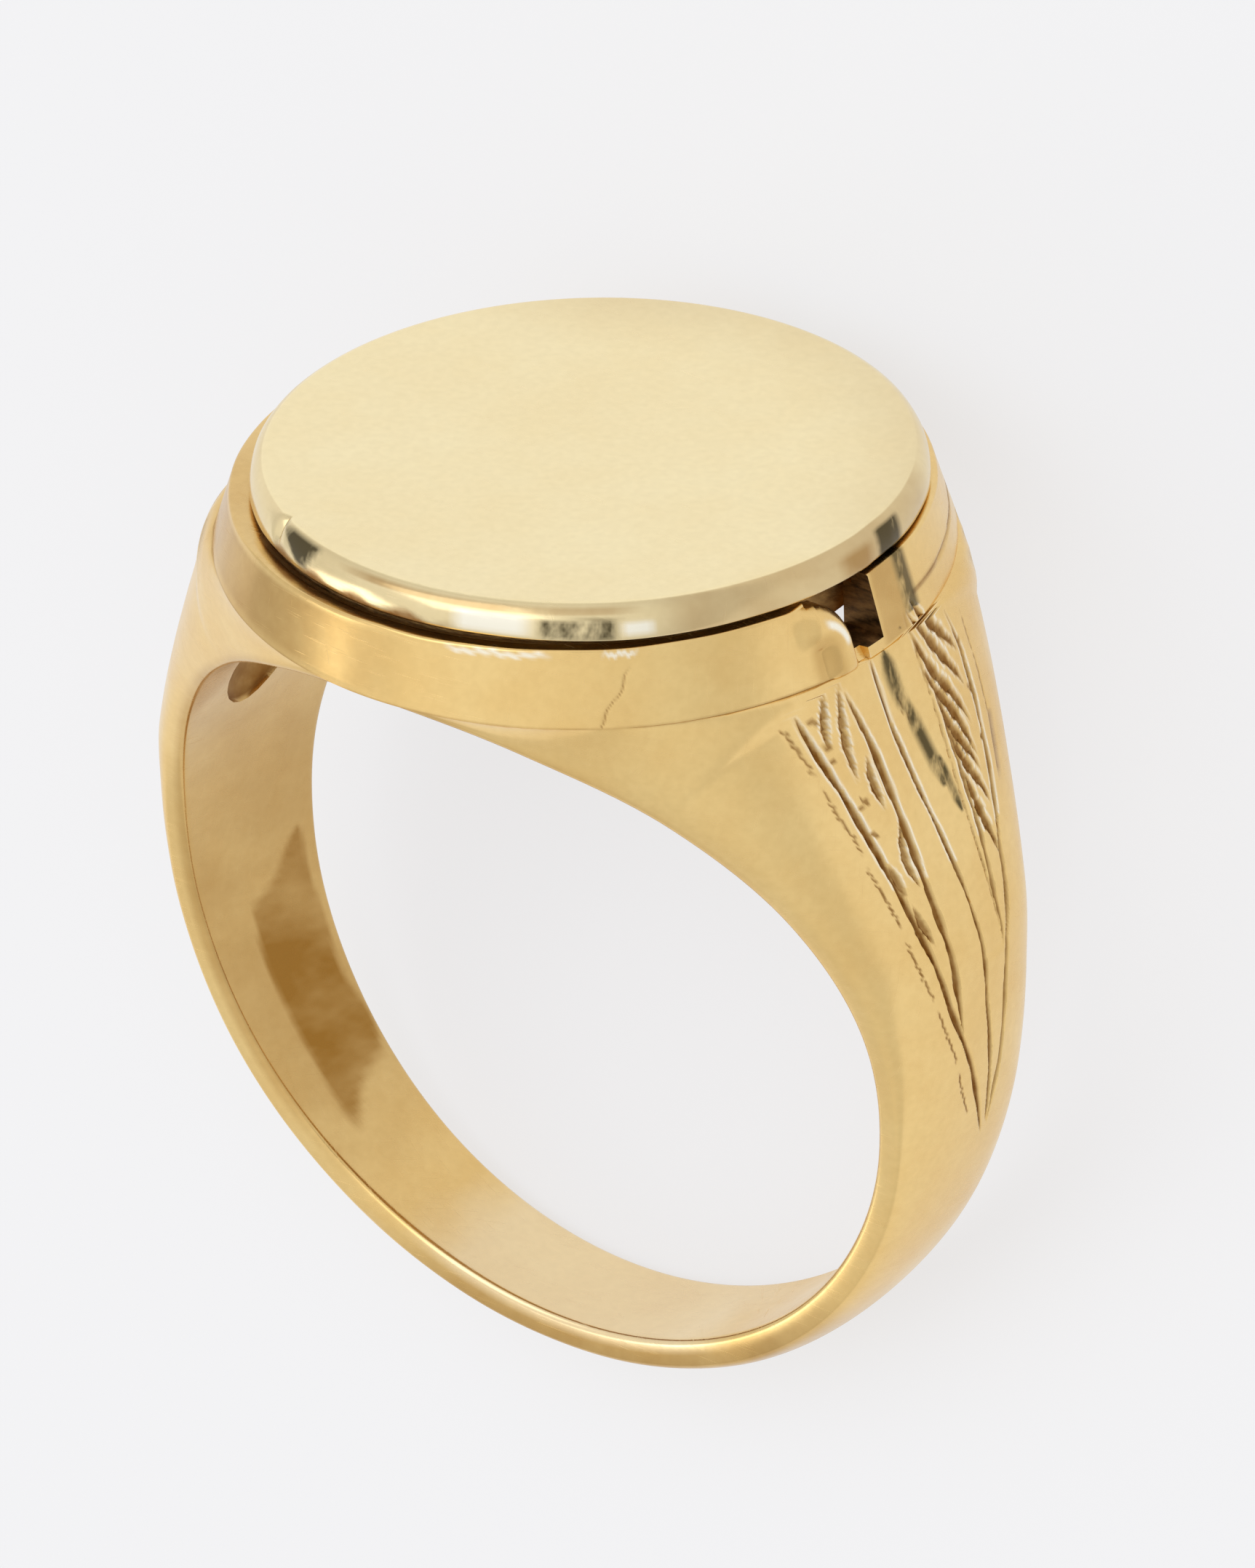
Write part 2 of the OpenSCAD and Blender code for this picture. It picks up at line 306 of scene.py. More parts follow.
def tapered(along, length):
    return share(np.minimum(along, 1 - along) / length)


def engraving(a, z):
    """Depth of the cutting, how brown it is, and how bright the painted highlight on its lips is, at
    places of a shoulder.
    """
    depth, brown, painted_highlight = np.zeros(a.shape), np.zeros(a.shape), np.zeros(a.shape)
    near = (a > -14) & (a < 57) & (z > -3.4) & (z < 3.7)
    an, zn = a[near], z[near]
    dn, bn, gn = np.zeros(an.shape), np.zeros(an.shape), np.zeros(an.shape)
    for k, (line, width, deep, taper, tone) in enumerate(CUTS):
        dist, along = nearest_on(line, an, zn)
        ends = tapered(along, taper) ** 0.7
        uneven = 1 + 0.18 * np.sin(31 * along + k) + 0.1 * np.sin(67 * along + 2 * k)
        half = np.maximum(width / 2 * ends * uneven, 1e-4)
        inside = share(1 - dist / half)
        lip = np.exp(-((dist - half - 0.02) / 0.025) ** 2) * ends
        dn = np.maximum(dn, deep * ends * inside**0.85) - 0.006 * lip * (deep > 0.06) * (dn < 0.01)
        bn = np.maximum(bn, tone * share(inside * 2.0 - 0.1) * share(ends * 2))
        # A painted highlight along the lips of the deeper cuts.
        gn = np.maximum(gn, 0.9 * lip * (deep > 0.06))
    # The wriggled line outside the left cut is a row of fine dashes
    wriggle = 0.022 * np.sin(an * 7.5) + 0.012 * np.sin(an * 17)
    dist, along = nearest_on(WRIGGLE, an, zn + wriggle)
    dashes = share(3 * np.sin(along * 34 + 0.5) + 2.75)
    inside = share(1 - dist / 0.034) * dashes
    bn = np.maximum(bn, 0.85 * share(inside * 2.2))
    depth[near] = np.maximum(dn, 0.024 * inside)
    brown[near] = bn
    painted_highlight[near] = gn * (bn < 0.1)
    return depth, brown, painted_highlight


def dark_reflection_strokes_at(a, z):
    """How dark the strip's painted dark-reflection strokes are at places of a shoulder."""
    dark = np.zeros(a.shape)
    for line, width, tone in DARK_REFLECTION_STROKES:
        dist, along = nearest_on(line, a, z)
        ends = tapered(along, 0.25) ** 0.5
        dark = np.maximum(dark, tone * share(1.4 - dist / (width / 2 * ends + 0.01)))
    return dark


# Mesh helpers
def mesh_object(name, points, faces):
    mesh = bpy.data.meshes.new(name)
    mesh.from_pydata(points, [], faces)
    mesh.update()
    obj = bpy.data.objects.new(name, mesh)
    bpy.context.scene.collection.objects.link(obj)
    return obj


def swept_volume(p):
    """Six times the volume below rows of four corners, which is negative if they face inwards."""
    first = np.einsum("ij,ij->i", p[:, 0], np.cross(p[:, 1], p[:, 2])).sum()
    return first + np.einsum("ij,ij->i", p[:, 0], np.cross(p[:, 2], p[:, 3])).sum()


def grid_object(name, grid, wrap_rows=True, caps=False):
    """A mesh from closed rows of points. The rows may also close on each other, or be capped."""
    m, n = grid.shape[:2]
    i = np.arange(m if wrap_rows else m - 1)[:, None]
    j = np.arange(n)[None, :]
    i2, j2 = (i + 1) % m, (j + 1) % n
    corners = np.broadcast_arrays(i * n + j, i2 * n + j, i2 * n + j2, i * n + j2)
    quads = np.stack(corners, -1).reshape(-1, 4)
    points = grid.reshape(-1, 3)
    faces = quads.tolist()
    if caps:
        faces.append(list(range(n)))
        faces.append(list(range(m * n - 1, (m - 1) * n - 1, -1)))
    if swept_volume(points[quads]) < 0:
        faces = [f[::-1] for f in faces]
    return mesh_object(name, points.tolist(), faces)


def lathe(name, profile, steps):
    """A capped solid of revolution about y, from a profile of (radius, height)."""
    c, s = on_circle(np.arange(steps) * 360 / steps)
    grid = [np.stack([r * c, np.full(steps, h), r * s], -1) for r, h in profile]
    return grid_object(name, np.array(grid), wrap_rows=False, caps=True)


def cylinder(name, r, start, end, steps=40):
    """A round bar between two points."""
    axis = (end - start) / np.linalg.norm(end - start)
    side = np.cross(axis, [0.3, 0.9, 0.1])
    side /= np.linalg.norm(side)
    other = np.cross(axis, side)
    phi = np.radians(np.arange(steps) * 360 / steps)[:, None]
    loop = r * (np.cos(phi) * side + np.sin(phi) * other)
    return grid_object(name, np.stack([start + loop, end + loop]), wrap_rows=False, caps=True)


def block(name, low, high, opened=0.0):
    """A box in the hinge's frame."""
    (x0, y0, z0), (x1, y1, z1) = low, high
    loops = [[[x0, y0, z], [x1, y0, z], [x1, y1, z], [x0, y1, z]] for z in (z0, z1)]
    grid = from_hinge(np.array(loops), opened).reshape(2, 4, 3)
    return grid_object(name, grid, wrap_rows=False, caps=True)


def hinge_bar(name, r, half_length, opened=0.0):
    """A round bar on the hinge's axis."""
    start, end = from_hinge([[-half_length, 0, 0], [half_length, 0, 0]], opened)
    return cylinder(name, r, start, end)


def combine(target, tool, operation):
    """Joins a solid to the target or cuts it away, and drops the tool."""
    modifier = target.modifiers.new("combine", "BOOLEAN")
    modifier.operation = operation
    modifier.solver = "MANIFOLD"
    modifier.object = tool
    graph = bpy.context.evaluated_depsgraph_get()
    result = bpy.data.meshes.new_from_object(target.evaluated_get(graph))
    target.modifiers.clear()
    old = target.data
    target.data = result
    bpy.data.meshes.remove(old)
    bpy.data.objects.remove(tool)
    if not len(result.vertices):
        raise RuntimeError("nothing was left of " + target.name)


def coordinates(obj):
    co = np.zeros(len(obj.data.vertices) * 3)
    obj.data.vertices.foreach_get("co", co)
    return co.reshape(-1, 3)


def of_faces(obj, what):
    """The centre or the normal of each face."""
    values = np.zeros(len(obj.data.polygons) * 3)
    obj.data.polygons.foreach_get(what, values)
    return values.reshape(-1, 3)


def put(obj, name, values):
    attribute = obj.data.attributes.new(name, "FLOAT", "POINT")
    attribute.data.foreach_set("value", np.asarray(values, np.float32))


def give(obj, *materials):
    obj.data.materials.clear()
    for material in materials:
        obj.data.materials.append(material)


def finish_piece(obj, body, node, sharp=35.0):
    """Places a finished piece as the ring lies, smooths it and stands it for its node."""
    obj.data.vertices.foreach_set("co", as_it_lies(coordinates(obj)).ravel())
    obj.data.shade_smooth()
    obj.data.set_sharp_from_angle(angle=math.radians(sharp))
    obj.data.update()
    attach(obj, body)
    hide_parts(node)


# The shank: band and shoulders
def edge_at(a):
    return EDGE_H * (1 - 0.8 * ((a + 90) / 180) ** 2)


def strip_at(a):
    grown = share((a - STRIP_END) / (SEAM_ANGLE - STRIP_END))
    return 0.03 + (STRIP_W / 2 - 0.03) * grown


def crown_at(a):
    reach = FOOT_REACH / np.cos(np.radians(a - FOOT_ANGLE))
    return np.where(a < FOOT_ANGLE, BORE_R + hermite(CROWNS, a), reach)


def top_at(a):
    """Top of a section's side wall: distance from the finger hole's axis, and half width."""
    above = a > SEAM_ANGLE
    tan = np.tan(np.radians(np.clip(a, 1, 89.99)))
    r = np.where(above, SEAM_U / np.sin(np.radians(np.clip(a, 1, 90))), crown_at(a))
    seam_half = np.sqrt(np.clip(HEAD_R**2 - (SEAM_U / tan) ** 2, 0, None))
    return r, np.where(above, np.maximum(strip_at(a), seam_half), strip_at(a))


def wall_height(a, down):
    """Distance of a side wall from the finger hole's axis, from its top (0) down to its edge (1)."""
    top_r = top_at(a)[0]
    low = BORE_R + edge_at(a)
    # An ellipse's quarter over the band, which grows straighter over the head
    power = np.where(a < SEAM_ANGLE, 2.0, 2 - 0.75 * (a - SEAM_ANGLE) / (90 - SEAM_ANGLE))
    return low + (top_r - low) * share(1 - down**power) ** (1 / power)


def skin_height(a, z):
    """Distance of the shoulder's skin from the finger hole's axis, at an angle and a place along it."""
    top_z = top_at(a)[1]
    return wall_height(a, share((np.abs(z) - top_z) / (hermite(WIDTHS, a) - top_z)))


def along_line(line, a):
    """A line's place along the finger at each angle."""
    angles, places = np.array(line[::-1], float).T
    return np.interp(a, angles, places)


def flatten_strip(r, a, z, outside):
    """Makes the strip one flat between its two lines."""
    left, right = along_line(STRIP_LEFT, a), along_line(STRIP_RIGHT, a)
    in_strip = outside & (z < left) & (z > right) & (a < 53) & (a > 14)
    r_left, r_right = skin_height(a, left), skin_height(a, right)
    chord = r_right + (r_left - r_right) * (z - right) / np.maximum(left - right, 0.05)
    return np.where(in_strip, chord - 0.02, r)


def shank_angles():
    """The angles of the sections round the finger hole, closest where the engraving is."""
    plain, patched = np.arange(-90, -50, 1.5), np.arange(-50, -12.5, 1.1)
    engraved, under_collar = np.arange(-12, 51.6, 0.46), np.arange(52.4, 88.5, 2.4)
    right = np.concatenate([plain, patched, engraved, under_collar, [90.0]])
    return np.concatenate([right, 180 - right[-2:0:-1]])


def shank_section(side):
    """A section's points as (distance from the finger hole's axis, place along it), at all angles."""
    w = hermite(WIDTHS, side)
    top_r, top_z = top_at(side)
    rounding = []
    for t in (0, 22.5, 45, 67.5, 90):
        c, s = on_circle(t)
        rounding.append((BORE_R + INNER_EDGE * (1 - c) + 0 * w, w - INNER_EDGE * (1 - s)))
    rounding.append(((BORE_R + INNER_EDGE + BORE_R + edge_at(side)) / 2, w))

    crown = np.linspace(0, 0.62, 58)[1:]
    flank = np.cos(np.linspace(math.acos(0.62), 0, 12))[1:]
    downs = np.concatenate([crown, flank])
    wall = [(wall_height(side, down), top_z + down * (w - top_z)) for down in downs]

    rows = [(BORE_R + 0 * w, k * (w - INNER_EDGE)) for k in np.linspace(-0.95, 0.95, 27)]
    rows += rounding + wall[::-1]
    rows += [(top_r, k * top_z) for k in np.linspace(1, -1, 22)]
    rows += [(r, -z) for r, z in wall + rounding[::-1]]
    return np.array([q[0] for q in rows]).T, np.array([q[1] for q in rows]).T


def shank_skin():
    turn_angles = shank_angles()
    side = np.where(turn_angles > 90, 180 - turn_angles, turn_angles)
    r, z = shank_section(side)
    a = np.broadcast_to(side[:, None], r.shape)
    outside = r > BORE_R + 0.6
    r = flatten_strip(r, a, z, outside)
    r = r - engraving(a, z)[0] * outside

    c, s = on_circle(turn_angles[:, None])
    grid = np.stack([r * c, r * s, z], -1)
    soft = outside & (a < SEAM_ANGLE - 3)
    swell = 0.010 * ripple(grid.reshape(-1, 3), 1.6, 1.0).reshape(r.shape) * soft
    grid[..., 0] += swell * c
    grid[..., 1] += swell * s
    return grid_object("shank", grid)


# The collar round the head
def nub_depth(z, u):
    """Distance in from the rounded end of the collar beside the slot."""
    across = np.minimum(z - SLOT_W - NUB_CORNER_R, 0)
    up = np.maximum(u - NUB_CORNER_U, 0)
    return np.minimum(z - SLOT_W, NUB_CORNER_R - np.hypot(across, up))


def crack_at(phi, u):
    """A hairline crack that runs down the collar's front to the seam, as a share of its depth."""
    down = share((11.0 - u) / 1.47)
    off = np.abs(phi - 45.6 - 6.1 * down**1.2 - 0.35 * np.sin(u * 9)) * 0.131
    return share(1 - off / 0.035) * share((10.85 - u) / 0.3) * (u > SEAM_U)


def bead_bulge(phi, z, u):
    """How far the collar's end beside the slot swells out, rounded like a bead."""
    d = nub_depth(z, u)
    bead = share(1 - ((d - 0.44) / 0.46) ** 2)
    fade = share((2.35 - z) / 0.7)
    foot = np.sqrt(share(1 - (1 - share((u - SEAM_U + 0.03) / 0.26)) ** 2))
    bulge = (0.2 * bead - 0.2 * share(1 - d / 0.2) ** 2) * foot * fade * fade * (3 - 2 * fade)
    return bulge * ((phi > 3) & (phi < 60) & (d > -0.3))


def collar_reach(phi, u):
    """Distance of the collar's outside from the head's axis."""
    r = HEAD_R + 0.02 - COLLAR_LEAN * (u - SEAM_U)
    c, s = on_circle(phi)
    x, z = r * c, r * s
    r = r + bead_bulge(phi, z, u)
    # A flat on the collar runs on from the strip on the shoulder
    off = (phi - (FACET_FROM + FACET_TO) / 2 + 180) % 360 - 180
    reach = r * math.cos(math.radians((FACET_TO - FACET_FROM) / 2)) + 0.012
    flat_r = reach / np.maximum(np.cos(np.radians(off)), 0.2)
    r = np.where(np.abs(off) < 5.4, np.minimum(r, flat_r), r)
    # The solder line behind the strip is a narrow groove, higher than the one in front
    behind = share((-9.5 - off - 5) / 3) * share((off + 88) / 6)
    groove = share(1 - np.abs(u - BACK_SEAM_U - 0.03 * np.sin(off / 9)) / 0.05)
    r = r - 0.06 * groove * behind
    r = r - 0.02 * crack_at(phi, u)
    # The engraving runs up over the collar's foot behind the strip
    angle = np.degrees(np.arctan2(u, np.maximum(x, 0.1)))
    engraved = (x > 4) & (u < BACK_SEAM_U) & (z < -0.8)
    nowhere = -60.0
    return r - engraving(np.where(engraved, angle, nowhere), z)[0]


def collar_section(phi):
    """The collar's section as (distance from the head's axis, height), from its foot up and over."""
    c, s = on_circle(phi)
    flat = np.ones(phi.shape)
    dings = 0.012 * np.sin(np.radians(phi * 17)) * np.sin(np.radians(phi * 5 + 30))
    top = rim_height(COLLAR_TOP_R * c, COLLAR_TOP_R * s) + dings
    inner_top = rim_height(COLLAR_IN_R * c, COLLAR_IN_R * s)
    seat_u = rim_height(COLLAR_IN_R * c, COLLAR_IN_R * s, RIM_H - CUP_WALL - 0.02)
    edge_u = top - COLLAR_TOP_EDGE
    edge_r = collar_reach(phi, edge_u)
    rows = []
    for k in (0, 0.5):
        rows.append(((HEAD_R - 0.5 + 0.52 * k) * flat, (SEAM_U - COLLAR_FOOT * (1 - k)) * flat))
    for k in np.linspace(0, 1, 30):
        u = SEAM_U + k * (edge_u - SEAM_U)
        rows.append((collar_reach(phi, u), u))
    for t in (22.5, 45, 67.5, 90):
        ct, st = on_circle(t)
        rows.append((edge_r - COLLAR_TOP_EDGE * (1 - ct), edge_u + COLLAR_TOP_EDGE * st))
    ledge_out, ledge_in = edge_r - COLLAR_TOP_EDGE, COLLAR_IN_R + COLLAR_IN_EDGE
    for k in (0.3, 0.6, 0.9):
        rows.append((ledge_out + (ledge_in - ledge_out) * k, top + (inner_top - top) * k))
    for t in (30, 60, 90):
        ct, st = on_circle(t)
        rows.append(((ledge_in - COLLAR_IN_EDGE * st) * flat, inner_top - COLLAR_IN_EDGE * (1 - ct)))
    rows.append((COLLAR_IN_R * flat, (seat_u + inner_top - COLLAR_IN_EDGE) / 2))
    rows.append((COLLAR_IN_R * flat, seat_u))
    rows.append((COLLAR_STEP_R * flat, seat_u))
    rows.append((COLLAR_STEP_R * flat, (SEAM_U - COLLAR_FOOT) * flat))
    return rows


def collar_ring():
    at_nub, to_crack = np.arange(-30, 22, 0.35), np.arange(22, 43, 1.25)
    at_crack, front = np.arange(43.3, 53, 0.3), np.arange(53.5, 180, 1.25)
    phi = np.concatenate([at_nub, to_crack, at_crack, front, np.arange(180, 330, 2.5)])
    c, s = on_circle(phi)
    grid = np.array([np.stack([r * c, u, r * s], -1) for r, u in collar_section(phi)])
    places = grid.reshape(-1, 3)
    out = np.hypot(places[:, 0], places[:, 2])
    wave = 0.009 * ripple(places, 1.1, 2.0) * (out > 7.15) * (places[:, 1] > SEAM_U + 0.05)
    places[:, 0] += wave * places[:, 0] / out
    places[:, 2] += wave * places[:, 2] / out
    return grid_object("collar", grid)


def slot_cutter():
    """The slot, and the rounding of the collar's end beside it, as one bar along x."""
    past_nub, above = SLOT_W + NUB_CORNER_R, SLOT_U + 4
    outline = [(0, SLOT_U), (SLOT_W, SLOT_U), (SLOT_W, NUB_CORNER_U)]
    for t in np.linspace(0, 90, 13)[1:]:
        c, s = on_circle(t)
        outline.append((past_nub - NUB_CORNER_R * c, NUB_CORNER_U + NUB_CORNER_R * s))
    outline += [(past_nub, above), (0, above)]
    inner_x, outer_x = 6.3, 9.3
    grid = np.array([[(x, u, z) for z, u in outline] for x in (inner_x, outer_x)])
    return grid_object("slot", grid, wrap_rows=False, caps=True)


def scoop(side):
    """The shallow hollow inside each shoulder, which ends in a half moon."""
    middle, forward = math.radians(45), 0.75
    reach_a, reach_z, depth = 0.43, 1.85, 0.74
    round_c, round_s = on_circle(np.arange(0, 360, 10))
    grid = []
    for t in np.linspace(-88, 88, 21):
        c, s = on_circle(t)
        a = middle + reach_a * c * round_c
        z = forward + reach_z * c * round_s
        r = BORE_R + depth * s
        grid.append(np.stack([side * r * np.cos(a), r * np.sin(a), z], -1))
    return grid_object("scoop", np.array(grid), wrap_rows=False, caps=True)


def hollow():
    """The way up through the head that holds the cup."""
    below, above = 6, SLOT_U + 3
    profile = [(HOLLOW_W / 2, below), (HOLLOW_W / 2, HOLLOW_NARROW_U),
               (COLLAR_STEP_R, SLOT_U - 0.06), (COLLAR_STEP_R, above)]
    return lathe("hollow", profile, 192)


def make_shank():
    shank = shank_skin()
    combine(shank, hollow(), "DIFFERENCE")
    combine(shank, scoop(-1), "DIFFERENCE")
    combine(shank, scoop(1), "DIFFERENCE")
    collar = collar_ring()
    combine(collar, slot_cutter(), "DIFFERENCE")
    combine(shank, collar, "UNION")
    # The two outer knuckles, with room for the lid's knuckle between them
    half_gap = KNUCKLE_LEN / 2 + SIDE_GAP
    way_up, way_out = 2, 0.66
    combine(shank, hinge_bar("barrel", BARREL_R, BARREL_LEN / 2), "UNION")
    combine(shank, hinge_bar("gap", BARREL_R + SIDE_GAP, half_gap), "DIFFERENCE")
    knuckle_way = block("knuckle_way", (-half_gap, -SIDE_GAP, -1), (half_gap, way_up, way_out))
    combine(shank, knuckle_way, "DIFFERENCE")
    combine(shank, hinge_bar("pin_way", PIN_R + SEAT_GAP, BARREL_LEN), "DIFFERENCE")
    return shank


# The lid
def lid_section():
    """The lid's section as (radius, height), from the middle of its top to the middle below."""
    rows = [(r, LID_H) for r in (0.4, 1.5, 3, 4.5, 5.6, 6.2, 6.45, 6.55, LID_FLAT_R)]
    rows += [(LID_FLAT_R + 0.03, LID_H - 0.001), (LID_FLAT_R + 0.05, LID_H - 0.005)]
    for t in np.linspace(78, 8, 14):
        c, s = on_circle(t)
        rows.append((LID_FLAT_R + (LID_R - LID_FLAT_R) * c, LID_EDGE_H + (LID_H - LID_EDGE_H) * s))
    rows += [(LID_R, LID_EDGE_H), (LID_R, 0.05), (LID_R - 0.015, 0.015), (LID_R - 0.05, 0.0)]
    skirt_out = CUP_R - CUP_WALL - 0.1
    skirt_in = skirt_out - CUP_WALL
    rows += [(6.6, 0), (skirt_out, 0), (skirt_out, -SKIRT_H), (skirt_in, -SKIRT_H), (skirt_in, 0)]
    return rows + [(4, 0), (0.4, 0)]


def worn_edge(phi, r, h):
    """The lid's edge at a height: its radius round the lid, with its flat, nick and wear."""
    # The flat beside the strip on the shoulder
    off = phi - (FACET_FROM + FACET_TO) / 2
    flat_r = (r * math.cos(math.radians(5)) + 0.01) / np.maximum(np.cos(np.radians(off)), 0.2)
    edge = np.where(np.abs(off) < 5.4, np.minimum(r, flat_r), r)
    # The nick by which a nail opens the lid
    from_nick = (phi - NICK_AT) * math.radians(1) * LID_R
    edge = edge - 0.12 * share(1 - np.abs(from_nick) / 0.16) * share((h - 0.1) / 0.3)
    wave = 0.006 * np.sin(np.radians(phi * 9 + 20)) + 0.004 * np.sin(np.radians(phi * 23 + 80))
    edge = edge + wave * share((LID_H - h) / 0.3)
    return edge + LID_BULGE * np.exp(-((phi - 48) / 20) ** 2) * (LID_H - h) / LID_H


def lid_plate():
    phi = np.concatenate([np.arange(-30, 4, 0.5), np.arange(4, 330, 1.0)])
    c, s = on_circle(phi)
    grid = []
    for r, h in lid_section():
        rr = worn_edge(phi, r, h) if r > 6.6 and h > 0 else r + 0 * phi
        off = LID_OFF if h >= 0 and r > 6.3 else 0.0
        grid.append(np.stack([rr * c + off, LID_UNDER + h + 0 * phi, rr * s - HINGE_Z], -1))
    grid = np.array(grid)
    return grid_object("lid", from_hinge(grid, AJAR).reshape(grid.shape), wrap_rows=False, caps=True)


def make_lid():
    lid = lid_plate()
    combine(lid, hinge_bar("lid_knuckle", BARREL_R, KNUCKLE_LEN / 2, AJAR), "UNION")
    tab = block("tab", (-KNUCKLE_LEN / 2, 0, 0), (KNUCKLE_LEN / 2, LID_UNDER + 0.2, 0.6), AJAR)
    combine(lid, tab, "UNION")
    combine(lid, hinge_bar("lid_pin_way", PIN_R + RUN_GAP, BARREL_LEN, AJAR), "DIFFERENCE")
    return lid


# Materials
# Colours that the painted shares mix in: painted shade with a faint stain, painted highlight, tarnish
# and painted dark reflection.
SHADE_AND_STAIN_COLOUR = (0.36, 0.175, 0.032)
PAINTED_HIGHLIGHT_COLOUR = (1.0, 0.95, 0.8)
TARNISH = (0.24, 0.095, 0.014)
DARK_REFLECTION_COLOUR = (0.06, 0.045, 0.018)


class Nodes:
    """A short way to write the nodes of a material or of the sky."""

    def __init__(self, owner):
        owner.use_nodes = True
        self.tree = owner.node_tree

    def __getitem__(self, name):
        return self.tree.nodes[name]

    def add(self, kind, **settings):
        node = self.tree.nodes.new(kind)
        for key, value in settings.items():
            setattr(node, key, value)
        return node

    def link(self, out, into):
        self.tree.links.new(out, into)

    def feed(self, value, socket):
        """Sets a number or a colour on a socket, or links an output to it."""
        if isinstance(value, (int, float)):
            socket.default_value = value
        elif isinstance(value, tuple):
            socket.default_value = (*value, 1.0)
        else:
            self.link(value, socket)

    def place(self, scale, rotation=(0, 0, 0)):
        coordinate = self.add("ShaderNodeTexCoord")
        mapping = self.add("ShaderNodeMapping")
        mapping.inputs["Scale"].default_value = scale
        mapping.inputs["Rotation"].default_value = rotation
        self.link(coordinate.outputs["Object"], mapping.inputs["Vector"])
        return mapping.outputs["Vector"]

    def noise(self, scale, detail=3.0, rough=0.5, rotation=(0, 0, 0), stretch=(1, 1, 1)):
        node = self.add("ShaderNodeTexNoise")
        node.inputs["Scale"].default_value = 1.0
        node.inputs["Detail"].default_value = detail
        node.inputs["Roughness"].default_value = rough
        self.link(self.place([scale * k for k in stretch], rotation), node.inputs["Vector"])
        return node.outputs["Fac"]

    def span(self, value, low, high, to_low=0.0, to_high=1.0):
        node = self.add("ShaderNodeMapRange")
        node.inputs["From Min"].default_value = low
        node.inputs["From Max"].default_value = high
        node.inputs["To Min"].default_value = to_low
        node.inputs["To Max"].default_value = to_high
        self.link(value, node.inputs["Value"])
        return node.outputs["Result"]

    def math(self, kind, a, b):
        node = self.add("ShaderNodeMath", operation=kind)
        self.feed(a, node.inputs[0])
        self.feed(b, node.inputs[1])
        return node.outputs[0]

    def mix(self, part, a, b):
        """Colour a, changing to colour b where the part is 1."""
        node = self.add("ShaderNodeMix", data_type="RGBA")
        self.feed(part, node.inputs["Factor"])
        for name, value in (("A", a), ("B", b)):
            socket = [s for s in node.inputs if s.name == name and s.type == "RGBA"][0]
            self.feed(value, socket)
        return [s for s in node.outputs if s.type == "RGBA"][0]

    def attribute(self, name):
        return self.add("ShaderNodeAttribute", attribute_name=name).outputs["Fac"]

    def bump(self, height, distance, strength, below=None):
        node = self.add("ShaderNodeBump")
        node.inputs["Strength"].default_value = strength
        node.inputs["Distance"].default_value = distance
        self.link(height, node.inputs["Height"])
        if below:
            self.link(below, node.inputs["Normal"])
        return node.outputs["Normal"]


def scratches(n, scale, seed):
    """Fine hairlines in two directions, as a height from 0 to 1."""
    one = n.noise(scale, 2.0, 0.6, (0.3 + seed, 0.9, 0.5), (1, 26, 1))
    two = n.noise(scale, 2.0, 0.6, (1.1, 0.2 + seed, 1.4), (1, 1, 30))
    return n.math("MAXIMUM", n.span(one, 0.62, 0.74), n.span(two, 0.64, 0.76))


def tarnish_and_painted_light(n, colour, roughness):
    """Deeper places of painted shade, paler places of painted highlight, brown tarnish, and dark places
    of painted reflection, where the piece's painted shares say so.
    """
    clouds = n.span(n.noise(420, 4.0, 0.6, (0.5, 0.3, 0.1), (1, 1, 0.45)), 0.36, 0.6)
    # Painted shade, broken into clouds.
    deeper = n.math("MULTIPLY", n.attribute("shade_and_stain"), n.span(clouds, 0, 1, 0.62, 1.0))
    colour = n.mix(deeper, colour, SHADE_AND_STAIN_COLOUR)
    # Painted highlights, mixed towards a pale colour.
    colour = n.mix(n.attribute("painted_highlight"), colour, PAINTED_HIGHLIGHT_COLOUR)
    stain = n.attribute("brown")
    spots = n.span(n.noise(2600, 3.0, 0.6), 0.3, 0.62)
    stained = n.math("MULTIPLY", stain, n.span(spots, 0, 1, 0.8, 1.0))
    colour = n.mix(stained, colour, TARNISH)
    roughness = n.math("MAXIMUM", roughness, n.math("MULTIPLY", stain, 0.55))
    # Painted dark reflections, broken into streaks.
    streaks = n.span(n.noise(700, 4.0, 0.65, (0, 0, 0.5), (1, 1, 2.5)), 0.28, 0.5)
    darkening = n.math("MULTIPLY", n.attribute("painted_dark_reflection"), streaks)
    return n.mix(n.math("MULTIPLY", darkening, 0.93), colour, DARK_REFLECTION_COLOUR), roughness


def gold(name, pale, deep, rough, tarnished_and_lit=True, scratch=0.25):
    """Polished gold: cloudy colour and fine scratches, and the painted tarnish, shade, highlights and
    dark reflections where the piece has any.
    """
    material = bpy.data.materials.new(name)
    n = Nodes(material)
    shader = n["Principled BSDF"]
    cloud = n.span(n.noise(330, 4.0, 0.6), 0.35, 0.68)
    grain = n.span(n.noise(5200, 2.0, 0.5), 0.3, 0.7)
    colour = n.mix(n.math("MULTIPLY", cloud, 0.6), pale, deep)
    colour = n.mix(n.math("MULTIPLY", grain, 0.16), colour, tuple(0.8 * k for k in deep))
    hair = scratches(n, 900, 0.4)
    roughness = n.math("ADD", n.span(cloud, 0, 1, rough, rough + 0.07), n.math("MULTIPLY", hair, 0.1))
    if tarnished_and_lit:
        colour, roughness = tarnish_and_painted_light(n, colour, roughness)
    n.link(colour, shader.inputs["Base Color"])
    n.link(roughness, shader.inputs["Roughness"])
    shader.inputs["Metallic"].default_value = 1.0
    relief = n.bump(hair, 0.000003, scratch)
    relief = n.bump(n.noise(1500, 3.0, 0.55), 0.000006, 0.5, relief)
    n.link(relief, shader.inputs["Normal"])
    return material


